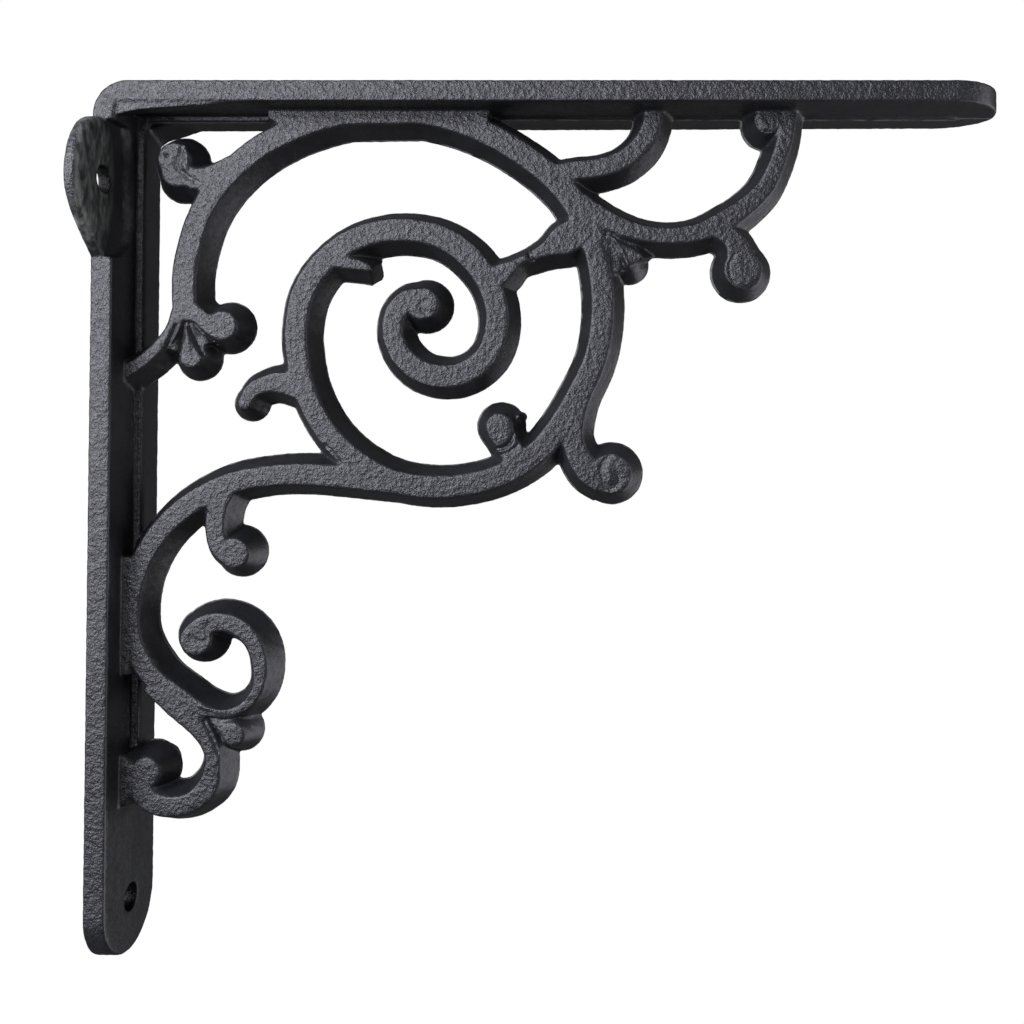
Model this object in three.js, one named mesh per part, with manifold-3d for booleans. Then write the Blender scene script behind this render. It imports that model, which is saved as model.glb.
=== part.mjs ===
import * as THREE from 'three';
import { ConvexGeometry } from 'three/addons/geometries/ConvexGeometry.js';
import { mergeVertices } from 'three/addons/utils/BufferGeometryUtils.js';
import Module from 'manifold-3d';

// Scrolled cast-iron shelf bracket, one casting, in millimetres.
// +X runs away from the wall along the shelf leaf, +Y across the width and +Z up.
// The origin lies on the wall leaf's back face, level with the upper screw hole.

// Two flat leaves at a right angle
const SHELF_REACH = 214;
const WALL_DROP = 206;
const LEAF_WIDTH = 25;
const LEAF_THICKNESS = 5;
const LEAF_CROWN = 0.7;
const SHELF_FAR_EDGE = 4.2;
const LEAF_EDGE = 0.6;
const CORNER_RADIUS = 8;

// Screw holes and the side ear that carries the upper one
const HOLE_DIAMETER = 6.4;
const UPPER_HOLE_DROP = 23.4;
const EAR_REACH = 12.2;
const EAR_RISE = 15.8;
const EAR_FALL = 16.5;
const EAR_WIDEST = -1.5;
const EAR_THICKNESS = 3.1;
const SEAT_LENGTH = 36;
const SEAT_RADIUS = 7.4;

// Bead along the parting line of both leaves, and the gussets in their corner
const BEAD_HEIGHT = 0.8;
const BEAD_CREST = 1.6;
const BEAD_BASE = 3;
const GUSSET_ALONG = 12.5;
const GUSSET_DOWN = 3;

// Scrollwork between the leaves, widest on the parting plane. The mould's back half sat a
// little nearer the wall than its front half.
const SCROLL_DEPTH = 12.8;
const BAR_FACE = 5.2;
const BAR_DRAFT = 2.4;
const BALL_DRAFT = 2.7;
const CARVED_DEPTH = 10.6;
const CARVED_DRAFT = 3;
const MOULD_SHIFT = 0.3;
const STATION_SPACING = 4.2;
const BALL_SIDES = 20;

// Heights that follow from the sizes above
const SHELF_TOP = UPPER_HOLE_DROP;
const SHELF_UNDERSIDE = SHELF_TOP - LEAF_THICKNESS;
const WALL_BOTTOM = SHELF_TOP - WALL_DROP;
const LOWER_HOLE_Z = WALL_BOTTOM + LEAF_WIDTH / 2;

// The scrollwork is laid out in the field between the leaves. Each point is a share of the
// field along the shelf, a share of it down the wall, and the face width as a share of a bar's.
const FIELD_ALONG = SHELF_REACH - LEAF_THICKNESS;
const FIELD_DOWN = WALL_DROP - LEAF_THICKNESS;

const BARS = {
  'big arch': [
      [0.068, 0.253, 1.05], [0.068, 0.186, 1.06], [0.092, 0.110, 1.03], [0.146, 0.049, 1.05],
      [0.221, 0.013, 1.00], [0.301, 0.002, 0.86], [0.381, 0.015, 1.05], [0.449, 0.051, 1.05],
      [0.498, 0.093, 1.09], [0.528, 0.137, 1.18],
  ],
  'main stem': [
      [0.523, 0.126, 1.09], [0.538, 0.178, 1.05], [0.544, 0.233, 1.03], [0.537, 0.289, 1.02],
      [0.518, 0.336, 1.05], [0.474, 0.403, 1.03], [0.428, 0.434, 1.00], [0.360, 0.448, 1.03],
      [0.295, 0.437, 1.05], [0.238, 0.393, 0.98], [0.205, 0.334, 0.98], [0.195, 0.275, 0.99],
      [0.195, 0.253, 0.99],
  ],
  'ring': [
      [0.195, 0.286, 0.99], [0.194, 0.263, 0.99], [0.203, 0.218, 1.04], [0.227, 0.180, 1.05],
      [0.263, 0.154, 1.05], [0.310, 0.144, 1.06], [0.356, 0.151, 1.05], [0.389, 0.173, 1.07],
      [0.416, 0.211, 1.03], [0.424, 0.253, 1.02], [0.414, 0.290, 1.02], [0.391, 0.311, 1.02],
      [0.364, 0.318, 1.05], [0.334, 0.310, 1.02], [0.313, 0.289, 0.96], [0.304, 0.263, 0.89],
      [0.309, 0.240, 0.96], [0.323, 0.227, 1.00], [0.336, 0.227, 1.00],
  ],
  'hook volute': [
      [0.121, 0.068, 1.00], [0.092, 0.081, 0.96], [0.072, 0.082, 1.00],
  ],
  'foot strut': [
      [0.065, 0.242, 0.91], [0.053, 0.265, 0.59], [0.036, 0.285, 0.53], [0.019, 0.301, 0.51],
      [-0.008, 0.318, 0.55],
  ],
  'drop leaf': [
      [0.071, 0.246, 0.36], [0.073, 0.272, 0.59], [0.076, 0.292, 1.06],
  ],
  'foot ball neck': [
      [0.073, 0.242, 1.09], [0.093, 0.256, 0.96], [0.110, 0.258, 1.27],
  ],
  'upper branch': [
      [0.481, 0.080, 0.91], [0.510, 0.073, 0.86], [0.540, 0.069, 0.86], [0.568, 0.059, 0.86],
      [0.589, 0.039, 0.86], [0.600, 0.018, 0.86], [0.603, -0.006, 0.87],
  ],
  'right branch': [
      [0.518, 0.112, 1.00], [0.547, 0.131, 0.89], [0.579, 0.145, 0.79], [0.614, 0.150, 0.74],
      [0.651, 0.147, 0.83], [0.684, 0.132, 0.91], [0.708, 0.115, 0.82], [0.729, 0.092, 0.76],
      [0.743, 0.063, 0.71], [0.752, 0.032, 0.71], [0.757, -0.006, 0.73],
  ],
  'right ball neck': [
      [0.675, 0.142, 0.82], [0.694, 0.156, 0.96], [0.702, 0.175, 1.27],
  ],
  'bridge': [
      [0.527, 0.140, 1.37], [0.497, 0.157, 1.32], [0.479, 0.167, 0.68], [0.462, 0.175, 0.42],
      [0.448, 0.181, 0.33], [0.436, 0.190, 0.68], [0.424, 0.199, 1.00],
  ],
  'thorn': [
      [0.225, 0.178, 0.64], [0.251, 0.183, 0.55], [0.268, 0.186, 0.46], [0.281, 0.191, 0.27],
  ],
  'outer hook': [
      [0.204, 0.334, 1.00], [0.181, 0.325, 1.00], [0.161, 0.327, 0.77], [0.145, 0.335, 0.68],
      [0.138, 0.347, 0.59],
  ],
  'small ball neck': [
      [0.426, 0.381, 1.09], [0.435, 0.397, 1.00], [0.447, 0.415, 1.18],
  ],
  'lower ball neck': [
      [0.512, 0.355, 1.00], [0.510, 0.390, 0.91], [0.518, 0.414, 1.05], [0.529, 0.429, 1.27],
      [0.545, 0.437, 1.46],
  ],
  'lower left bar': [
      [0.343, 0.448, 0.82], [0.298, 0.444, 0.86], [0.247, 0.436, 1.00], [0.201, 0.433, 0.97],
      [0.158, 0.436, 0.93], [0.118, 0.445, 0.95], [0.071, 0.472, 0.96], [0.038, 0.506, 0.91],
      [0.017, 0.547, 0.91], [0.009, 0.592, 0.91], [0.012, 0.629, 0.93], [0.036, 0.671, 0.93],
      [0.066, 0.694, 0.82], [0.093, 0.708, 0.55], [0.118, 0.713, 0.38], [0.139, 0.707, 0.42],
      [0.154, 0.687, 0.47], [0.157, 0.662, 0.64], [0.152, 0.636, 0.73], [0.137, 0.616, 0.77],
      [0.115, 0.606, 0.80], [0.096, 0.610, 0.86],
  ],
  'hanging stem': [
      [0.118, 0.447, 0.91], [0.108, 0.470, 0.86], [0.105, 0.498, 0.82], [0.112, 0.520, 0.86],
      [0.124, 0.528, 1.09],
  ],
  'last scroll': [
      [0.034, 0.678, 0.91], [0.066, 0.707, 1.00], [0.090, 0.731, 0.82], [0.101, 0.751, 0.69],
      [0.105, 0.771, 0.67], [0.099, 0.799, 0.91], [0.079, 0.817, 0.87], [0.055, 0.821, 0.89],
      [0.035, 0.815, 0.96], [0.023, 0.801, 1.00],
  ],
  'wall pad': [
      [0.000, 0.530, 0.68], [0.002, 0.668, 0.68],
  ],
  'strut pad': [
      [-0.003, 0.301, 0.55], [-0.003, 0.316, 0.55],
  ],
  'ball pad': [
      [0.004, 0.772, 0.73], [0.004, 0.801, 0.73],
  ],
  'arch pad': [
      [0.162, 0.006, 0.41], [0.180, 0.007, 0.73], [0.413, 0.007, 0.73],
  ],
};

// Round ends of the scrolls: centre and diameter in the same shares
const BALLS = {
  'hook': [0.055, 0.059, 1.50],
  'hook belly': [0.058, 0.074, 1.41],
  'outer': [0.137, 0.348, 0.62],
  'fan': [0.574, 0.182, 0.73],
  'palmette': [0.128, 0.737, 1.05],
  'foot': [0.111, 0.257, 1.37],
  'spiral': [0.339, 0.231, 1.46],
  'right': [0.704, 0.191, 1.73],
  'shelf': [0.733, 0.012, 1.23],
  'small': [0.426, 0.376, 1.18],
  'lower': [0.554, 0.433, 1.82],
  'hanging': [0.127, 0.526, 1.35],
  'curl': [0.085, 0.627, 1.42],
  'wall': [0.030, 0.781, 1.33],
  'drop': [0.076, 0.294, 1.07],
};

// Carved leaves, cut back a little from the bars' faces
const LEAVES = {
  'foot side leaf left': [
      [0.066, 0.253, 0.36], [0.054, 0.286, 0.73],
  ],
  'foot side leaf right': [
      [0.076, 0.253, 0.36], [0.090, 0.281, 0.73],
  ],
  'fan lobe right': [
      [0.550, 0.149, 0.27], [0.566, 0.167, 0.64], [0.577, 0.175, 0.82],
  ],
  'fan lobe left': [
      [0.545, 0.154, 0.27], [0.556, 0.182, 0.55], [0.560, 0.194, 0.46],
  ],
  'palmette': [
      [0.098, 0.711, 0.27], [0.116, 0.726, 0.77], [0.127, 0.737, 1.09],
  ],
};

const wasm = await Module();
wasm.setup();

/** Turn a closed geometry into a solid that can be joined and cut. */
function solid(geometry) {
  const bare = geometry.clone();
  bare.deleteAttribute('normal');
  bare.deleteAttribute('uv');
  const merged = mergeVertices(bare, 1e-4);
  const mesh = new wasm.Mesh({
    numProp: 3,
    vertProperties: new Float32Array(merged.attributes.position.array),
    triVerts: new Uint32Array(merged.index.array),
  });
  return new wasm.Manifold(mesh);
}

/** Convex solid round a list of [x, y, z] points. */
function hull(points) {
  return solid(new ConvexGeometry(points.map((p) => new THREE.Vector3(...p))));
}

/** Extrude a flat outline of [a, b] points and lay its axes along the given frame axes. */
function prism(outline, depth, axisA, axisB, axisDepth, origin) {
  const shape = new THREE.Shape(outline.map(([a, b]) => new THREE.Vector2(a, b)));
  const geometry = new THREE.ExtrudeGeometry(shape, { depth, bevelEnabled: false });
  const place = new THREE.Matrix4().makeBasis(
    new THREE.Vector3(...axisA),
    new THREE.Vector3(...axisB),
    new THREE.Vector3(...axisDepth),
  );
  place.setPosition(...origin);
  return solid(geometry.applyMatrix4(place));
}

/** Points on an arc about a centre, from one angle to another in degrees. */
function arc(centreA, centreB, radius, from, to, steps) {
  return Array.from({ length: steps + 1 }, (_, i) => {
    const angle = THREE.MathUtils.degToRad(from + ((to - from) * i) / steps);
    return [centreA + radius * Math.cos(angle), centreB + radius * Math.sin(angle)];
  });
}

/** Cross-section of a leaf: width across, height from its outer face, crowned inside. */
function leafSection(lowEdge, highEdge) {
  const half = LEAF_WIDTH / 2;
  const bevel = LEAF_EDGE * 1.5;
  return [
    [-half, LEAF_EDGE],
    [-half + LEAF_EDGE, 0],
    [half - LEAF_EDGE, 0],
    [half, LEAF_EDGE],
    [half, highEdge - bevel],
    [half - bevel, highEdge],
    [0, LEAF_THICKNESS + LEAF_CROWN],
    [-half + bevel, lowEdge],
    [-half, lowEdge - bevel],
  ];
}

/** Plan of a leaf: straight sides and a round far end. */
function leafPlan(length) {
  const half = LEAF_WIDTH / 2;
  return [[0, -half], ...arc(length - half, 0, half, -90, 90, 16), [0, half]];
}

/** Solid of a leaf of the given length, run along one axis and thickened along another. */
function leaf(length, along, across, inward, edges) {
  const origin = [0, 0, SHELF_TOP];
  const tall = LEAF_THICKNESS + LEAF_CROWN + 1;
  const plan = prism(leafPlan(length), tall, along, across, inward, origin);
  const section = prism(leafSection(...edges), length + 1, across, inward, along, origin);
  return plan.intersect(section);
}

/** Both leaves with the rounded outer corner. */
function leaves() {
  const even = [LEAF_THICKNESS, LEAF_THICKNESS];
  const tapered = [SHELF_FAR_EDGE, LEAF_THICKNESS];
  const shelf = leaf(SHELF_REACH, [1, 0, 0], [0, -1, 0], [0, 0, -1], tapered);
  const wall = leaf(WALL_DROP, [0, 0, -1], [0, 1, 0], [1, 0, 0], even);
  const reach = SHELF_REACH + 5;
  const outline = [
    ...arc(CORNER_RADIUS, SHELF_TOP - CORNER_RADIUS, CORNER_RADIUS, 180, 90, 6),
    [reach, SHELF_TOP],
    [reach, WALL_BOTTOM - 5],
    [0, WALL_BOTTOM - 5],
  ];
  const corner = prism(outline, LEAF_WIDTH + 2, [1, 0, 0], [0, 0, 1], [0, -1, 0], [0, LEAF_WIDTH / 2 + 1, 0]);
  return shelf.add(wall).intersect(corner);
}

/** Side ear in the wall plane, round above the upper hole and sloping below it. */
function ear() {
  const edge = -LEAF_WIDTH / 2;
  const outline = [[edge + 1, EAR_WIDEST + EAR_RISE]];
  for (let i = 9; i >= 0; i -= 1) {
    const angle = (i / 9) * (Math.PI / 2);
    outline.push([edge - EAR_REACH * Math.cos(angle), EAR_WIDEST + EAR_RISE * Math.sin(angle)]);
  }
  for (let i = 1; i <= 9; i += 1) {
    const angle = (i / 9) * (Math.PI / 2);
    outline.push([edge - EAR_REACH * Math.cos(angle), EAR_WIDEST - (EAR_FALL * i) / 9]);
  }
  outline.push([edge + 1, EAR_WIDEST - EAR_FALL]);
  return prism(outline, EAR_THICKNESS, [0, 1, 0], [0, 0, 1], [1, 0, 0], [0, 0, 0]);
}

/** Flat seat for the upper screw's head, sunk into the leaf beside the ear. */
function seat() {
  const edge = -LEAF_WIDTH / 2;
  const half = SEAT_LENGTH / 2;
  const outline = [
    [edge - 1, -half],
    [edge + SEAT_RADIUS * 0.5, -half],
    [edge + SEAT_RADIUS, -half + SEAT_RADIUS],
    [edge + SEAT_RADIUS, half - SEAT_RADIUS],
    [edge + SEAT_RADIUS * 0.5, half],
    [edge - 1, half],
  ];
  return prism(outline, 10, [0, 1, 0], [0, 0, 1], [1, 0, 0], [EAR_THICKNESS, 0, 0]);
}

/** Cutter for a screw hole through the wall leaf. */
function hole(y, z) {
  const outline = arc(y, z, HOLE_DIAMETER / 2, 0, 360, 20).slice(0, -1);
  return prism(outline, 20, [0, 1, 0], [0, 0, 1], [1, 0, 0], [-5, 0, 0]);
}

/** Straight bead between two points of the parting plane, standing out of a leaf. */
function bead(start, end, out) {
  const foot = -LEAF_CROWN - 0.6;
  const crest = LEAF_CROWN + BEAD_HEIGHT;
  const points = [];
  for (const [x, z] of [start, end]) {
    for (const side of [-0.5, 0.5]) {
      points.push([x + out[0] * foot, side * BEAD_BASE, z + out[1] * foot]);
      points.push([x + out[0] * crest, side * BEAD_CREST, z + out[1] * crest]);
    }
  }
  return hull(points);
}

/** Beads of both leaves, joined by a small fillet in the inner corner. */
function beads() {
  const cornerX = LEAF_THICKNESS;
  const cornerZ = SHELF_UNDERSIDE;
  const fillet = BEAD_BASE + BEAD_HEIGHT;
  const wallEnd = SHELF_TOP - LEAF_THICKNESS - FIELD_DOWN * 0.77;
  const tip = SHELF_REACH - LEAF_WIDTH / 3;
  const web = [];
  for (const side of [-0.5, 0.5]) {
    const y = side * BEAD_CREST;
    web.push([cornerX - 0.5, y, cornerZ + 0.5]);
    web.push([cornerX + fillet, y, cornerZ + 0.5]);
    web.push([cornerX + fillet, y, cornerZ - BEAD_HEIGHT]);
    web.push([cornerX + BEAD_HEIGHT, y, cornerZ - fillet]);
    web.push([cornerX - 0.5, y, cornerZ - fillet]);
  }
  return [
    bead([cornerX - 1, cornerZ], [tip, cornerZ], [0, -1]),
    bead([cornerX, cornerZ + 1], [cornerX, wallEnd], [1, 0]),
    hull(web),
  ];
}

/** Low gusset in the corner along one edge of the leaves. */
function gusset(side) {
  const sunk = 0.5;
  const x = LEAF_THICKNESS;
  const edgeZ = side < 0 ? SHELF_UNDERSIDE : SHELF_TOP - SHELF_FAR_EDGE;
  const outer = [LEAF_WIDTH / 2 - LEAF_EDGE * 1.5, 1, edgeZ];
  const inner = [LEAF_WIDTH / 5, 0.4, SHELF_UNDERSIDE];
  const points = [];
  for (const [y, share, z] of [outer, inner]) {
    points.push([x - sunk, side * y, z + sunk]);
    points.push([x + GUSSET_ALONG * share, side * y, z + sunk]);
    points.push([x + GUSSET_ALONG * share, side * y, z]);
    points.push([x + GUSSET_DOWN * share * 0.6, side * y, z - GUSSET_DOWN * share * 0.7]);
    points.push([x, side * y, z - GUSSET_DOWN * share * 1.6]);
    points.push([x - sunk, side * y, z - GUSSET_DOWN * share * 1.6]);
  }
  return hull(points);
}

/** Place a point of the scroll field in the frame: x, half width of the face, z. */
function fieldPoint([along, down, width]) {
  return new THREE.Vector3(
    LEAF_THICKNESS + along * FIELD_ALONG,
    (width * BAR_FACE) / 2,
    SHELF_UNDERSIDE - down * FIELD_DOWN,
  );
}

/** Solid bar along a path, six-sided in section, widest on the parting plane. */
function bar(path, depth, draft) {
  const curve = new THREE.CatmullRomCurve3(path.map(fieldPoint), false, 'centripetal');
  const steps = Math.max(2, Math.round(curve.getLength() / STATION_SPACING));
  const points = [];
  const faces = [];
  for (let i = 0; i <= steps; i += 1) {
    const at = curve.getPoint(i / steps);
    const tangent = curve.getTangent(i / steps);
    const length = Math.hypot(tangent.x, tangent.z);
    const face = at.y;
    const section = [
      [-face, -depth / 2],
      [face, -depth / 2],
      [face + draft, 0],
      [face, depth / 2],
      [-face, depth / 2],
      [-face - draft, 0],
    ];
    for (const [across, y] of section) {
      const slip = y < 0 ? 0 : MOULD_SHIFT;
      const x = at.x - slip - (tangent.z / length) * across;
      points.push(x, y, at.z + (tangent.x / length) * across);
    }
  }
  for (let i = 0; i < steps; i += 1) {
    for (let k = 0; k < 6; k += 1) {
      const a = i * 6 + k;
      const b = i * 6 + ((k + 1) % 6);
      faces.push(a, b + 6, b, a, a + 6, b + 6);
    }
  }
  for (let k = 1; k < 5; k += 1) {
    faces.push(0, k, k + 1);
    faces.push(steps * 6, steps * 6 + k + 1, steps * 6 + k);
  }
  const geometry = new THREE.BufferGeometry();
  geometry.setAttribute('position', new THREE.Float32BufferAttribute(points, 3));
  geometry.setIndex(faces);
  return solid(geometry);
}

/** Round end of a scroll, drafted from the parting plane to both faces. */
function ball(spec) {
  const centre = fieldPoint(spec);
  const points = [];
  for (const [y, grow] of [[-SCROLL_DEPTH / 2, 0], [0, BALL_DRAFT], [SCROLL_DEPTH / 2, 0]]) {
    const middle = centre.x - (y < 0 ? 0 : MOULD_SHIFT);
    for (const [x, z] of arc(middle, centre.z, centre.y + grow, 0, 360, BALL_SIDES).slice(0, -1)) {
      points.push([x, y, z]);
    }
  }
  return hull(points);
}

/** The whole bracket as one solid. */
function casting() {
  const pieces = [
    leaves(),
    ear(),
    gusset(-1),
    gusset(1),
    ...beads(),
    ...Object.values(BARS).map((path) => bar(path, SCROLL_DEPTH, BAR_DRAFT)),
    ...Object.values(BALLS).map(ball),
    ...Object.values(LEAVES).map((path) => bar(path, CARVED_DEPTH, CARVED_DRAFT)),
  ];
  let body = pieces[0];
  for (const piece of pieces.slice(1)) {
    body = body.add(piece);
  }
  const edge = -LEAF_WIDTH / 2;
  return body.subtract(seat()).subtract(hole(edge, 0)).subtract(hole(0, LOWER_HOLE_Z));
}

const result = casting().getMesh();
const geometry = new THREE.BufferGeometry();
geometry.setAttribute('position', new THREE.BufferAttribute(new Float32Array(result.vertProperties), 3));
geometry.setIndex(new THREE.BufferAttribute(new Uint32Array(result.triVerts), 1));
geometry.computeVertexNormals();

const iron = new THREE.MeshStandardMaterial({ color: 0x2b2c2e, roughness: 0.62, metalness: 0.55 });
const bracketCasting = new THREE.Mesh(geometry, iron);
bracketCasting.name = 'bracket_casting';

const bracket = new THREE.Group();
bracket.add(bracketCasting);

export default bracket;
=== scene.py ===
"""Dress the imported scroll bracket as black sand-cast iron and set it before the camera.

The bracket is one casting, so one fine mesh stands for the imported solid. It is put together
in millimetres from plates, bars and round ends, fused as the mould fuses them, then softened
at its corners, cut with the carver's grooves and roughened as sand leaves it.
"""

from __future__ import annotations

import logging
import math
from dataclasses import dataclass
from enum import Enum
from typing import Callable

import bmesh
import bpy
import numpy as np
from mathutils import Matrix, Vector

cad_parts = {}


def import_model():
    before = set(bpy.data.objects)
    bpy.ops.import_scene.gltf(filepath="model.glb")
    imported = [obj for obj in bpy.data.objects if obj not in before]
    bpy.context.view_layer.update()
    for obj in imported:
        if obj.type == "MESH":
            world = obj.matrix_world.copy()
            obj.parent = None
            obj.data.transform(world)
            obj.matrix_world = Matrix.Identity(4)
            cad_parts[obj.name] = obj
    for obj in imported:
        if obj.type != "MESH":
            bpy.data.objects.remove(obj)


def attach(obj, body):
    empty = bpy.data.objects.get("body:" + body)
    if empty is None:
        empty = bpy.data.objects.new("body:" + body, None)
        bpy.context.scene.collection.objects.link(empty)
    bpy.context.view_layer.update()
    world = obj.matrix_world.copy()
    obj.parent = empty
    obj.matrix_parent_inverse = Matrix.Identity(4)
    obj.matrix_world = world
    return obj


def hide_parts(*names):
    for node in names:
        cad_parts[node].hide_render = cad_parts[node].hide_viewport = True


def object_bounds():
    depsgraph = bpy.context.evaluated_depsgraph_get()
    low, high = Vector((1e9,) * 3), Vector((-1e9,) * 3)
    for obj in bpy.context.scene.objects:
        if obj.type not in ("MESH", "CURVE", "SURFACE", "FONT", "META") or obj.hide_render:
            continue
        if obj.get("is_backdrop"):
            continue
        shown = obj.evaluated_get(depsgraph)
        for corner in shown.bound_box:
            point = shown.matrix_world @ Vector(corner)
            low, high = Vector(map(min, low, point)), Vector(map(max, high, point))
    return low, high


log = logging.getLogger("bracket")

Point = tuple[float, float, float]
Flat = tuple[float, float]
Piece = bpy.types.Object
Socket = bpy.types.NodeSocket


@dataclass(frozen=True)
class Stroke:
    """A line that the carver sank into the scroll's face, or left standing."""

    half_width: float
    depth: float
    path: tuple[Flat, ...]


# Bars of the scrollwork in millimetres: distance from the wall, height, half width of the face
BARS: dict[str, tuple[Point, ...]] = {
    "big arch": (
        (19.3, -32.52, 2.72), (19.28, -18.95, 2.74), (24.23, -3.66, 2.67), (35.55, 8.55, 2.72),
        (51.21, 15.86, 2.6), (67.89, 17.91, 2.25), (84.58, 15.38, 2.72), (98.9, 8.19, 2.72),
        (109.16, -0.32, 2.84), (115.35, -9.16, 3.08),
    ),
    "main stem": (
        (114.4, -7.01, 2.84), (117.5, -17.28, 2.72), (118.65, -28.48, 2.67), (117.28, -39.65, 2.65),
        (113.26, -49.14, 2.72), (104.17, -62.51, 2.67), (94.37, -68.89, 2.6), (80.2, -71.68, 2.67),
        (66.72, -69.37, 2.72), (54.72, -60.5, 2.56), (47.89, -48.67, 2.56), (45.67, -36.8, 2.58),
        (45.75, -32.52, 2.58),
    ),
    "ring": (
        (45.8, -39.17, 2.58), (45.65, -34.42, 2.58), (47.36, -25.38, 2.7), (52.41, -17.87, 2.72),
        (59.97, -12.51, 2.72), (69.71, -10.45, 2.74), (79.46, -11.91, 2.72), (86.37, -16.32, 2.79),
        (91.86, -23.95, 2.67), (93.55, -32.52, 2.65), (91.44, -39.89, 2.65), (86.71, -44.16, 2.65),
        (81.03, -45.46, 2.72), (74.87, -43.92, 2.65), (70.34, -39.65, 2.48), (68.53, -34.42, 2.32),
        (69.58, -29.9, 2.48), (72.41, -27.29, 2.6), (75.26, -27.29, 2.6),
    ),
    "hook volute": ((30.34, 4.71, 2.6), (24.18, 2.08, 2.48), (20.13, 1.84, 2.6)),
    "foot strut": (
        (18.56, -30.14, 2.37), (16.0, -34.9, 1.54), (12.49, -38.94, 1.37), (8.97, -42.02, 1.45),
        (3.33, -45.58, 1.75),
    ),
    "drop leaf": ((19.76, -31.09, 0.95), (20.29, -36.32, 1.54), (20.92, -40.36, 2.74)),
    "foot ball neck": ((20.22, -30.14, 2.84), (24.52, -33.0, 2.48), (28.09, -33.47, 3.31)),
    "upper branch": (
        (105.58, 2.32, 2.37), (111.53, 3.75, 2.22), (117.96, 4.47, 2.22), (123.67, 6.51, 2.22),
        (128.2, 10.47, 2.22), (130.34, 14.78, 2.22), (131.06, 19.59, 2.27),
    ),
    "right branch": (
        (113.21, -4.14, 2.6), (119.39, -7.9, 2.32), (126.05, -10.67, 2.06), (133.42, -11.84, 1.92),
        (141.03, -11.12, 2.15), (147.93, -8.09, 2.37), (152.93, -4.62, 2.13), (157.46, -0.08, 1.99),
        (160.34, 5.67, 1.85), (162.27, 11.9, 1.85), (163.25, 19.59, 1.89),
    ),
    "right ball neck": ((146.02, -10.12, 2.13), (150.06, -12.98, 2.48), (151.71, -16.8, 3.31)),
    "bridge": (
        (115.11, -9.64, 3.55), (108.94, -13.1, 3.43), (105.14, -15.13, 1.77), (101.58, -16.8, 1.09),
        (98.73, -17.99, 0.85), (96.12, -19.78, 1.77), (93.52, -21.57, 2.6),
    ),
    "thorn": ((51.93, -17.28, 1.66), (57.4, -18.35, 1.42), (60.97, -18.95, 1.18), (63.82, -20.02, 0.71)),
    "outer hook": (
        (47.65, -48.67, 2.6), (42.9, -47.01, 2.6), (38.64, -47.24, 2.01), (35.34, -48.9, 1.77),
        (33.94, -51.27, 1.54),
    ),
    "small ball neck": ((94.1, -58.14, 2.84), (96.01, -61.45, 2.6), (98.38, -65.0, 3.08)),
    "lower ball neck": (
        (116.6, -42.6, 2.5), (112.6, -51.6, 2.6), (111.62, -60.03, 2.37), (113.16, -64.76, 2.72),
        (115.64, -67.83, 3.31), (118.95, -69.48, 3.79),
    ),
    "lower left bar": (
        (76.66, -71.73, 2.13), (67.2, -70.78, 2.25), (56.56, -69.29, 2.6), (47.1, -68.66, 2.53),
        (38.12, -69.18, 2.41), (29.63, -71.09, 2.46), (19.88, -76.44, 2.51), (12.98, -83.39, 2.37),
        (8.59, -91.63, 2.37), (6.88, -100.55, 2.37), (7.49, -108.05, 2.41), (12.53, -116.48, 2.41),
        (18.81, -121.04, 2.13), (24.48, -123.96, 1.42), (29.66, -125.01, 0.99), (34.12, -123.61, 1.09),
        (37.14, -119.75, 1.23), (37.87, -114.61, 1.66), (36.82, -109.46, 1.89), (33.72, -105.36, 2.01),
        (28.99, -103.48, 2.08), (25.6, -103.9, 2.25), (23.1, -105.5, 2.6), (22.2, -107.6, 2.8),
    ),
    "hanging stem": (
        (29.63, -71.37, 2.37), (27.55, -76.09, 2.25), (27.01, -81.74, 2.13), (28.35, -86.22, 2.25),
        (30.96, -87.63, 2.84),
    ),
    "last scroll": (
        (12.19, -117.88, 2.37), (18.84, -123.73, 2.6), (23.71, -128.51, 2.13), (26.21, -132.59, 1.8),
        (26.96, -136.56, 1.75), (25.72, -142.14, 2.37), (21.42, -145.87, 2.27), (16.5, -146.68, 2.32),
        (12.26, -145.4, 2.48), (9.89, -142.61, 2.6), (9.1, -139.6, 2.5),
    ),
    "wall pad": ((5.02, -88.1, 1.77), (5.34, -115.78, 1.77)),
    "strut pad": ((4.35, -42.02, 1.42), (4.39, -45.11, 1.42)),
    "ball pad": ((5.1, -134.8, 0.9), (5.8, -137.2, 1.9), (5.9, -142.8, 1.9), (5.2, -146.4, 1.1)),
    "arch pad": ((38.81, 17.18, 1.06), (42.62, 17.06, 1.89), (91.25, 17.06, 1.89)),
    "hook underside": ((17.51, 2.08, 1.2), (19.66, 1.12, 1.3), (22.29, 0.52, 1.1)),
}

# Round ends of the scrolls in millimetres: distance from the wall, height, radius of the face
BALLS: dict[str, Point] = {
    "hook": (16.39, 6.51, 3.9),
    "hook belly": (17.02, 3.52, 3.67),
    "outer": (33.71, -51.63, 1.61),
    "fan": (124.98, -18.11, 1.89),
    "palmette": (31.71, -129.79, 2.72),
    "foot": (28.2, -33.35, 3.55),
    "spiral": (75.86, -28.12, 3.79),
    "right": (152.06, -19.9, 4.5),
    "shelf": (158.23, 15.98, 3.19),
    "small": (94.1, -57.19, 3.08),
    "lower": (120.73, -68.54, 4.73),
    "hanging": (31.55, -87.28, 3.5),
    "curl": (22.67, -107.58, 3.69),
    "wall": (11.25, -138.65, 3.45),
    "drop": (20.93, -40.6, 2.79),
}

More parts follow.
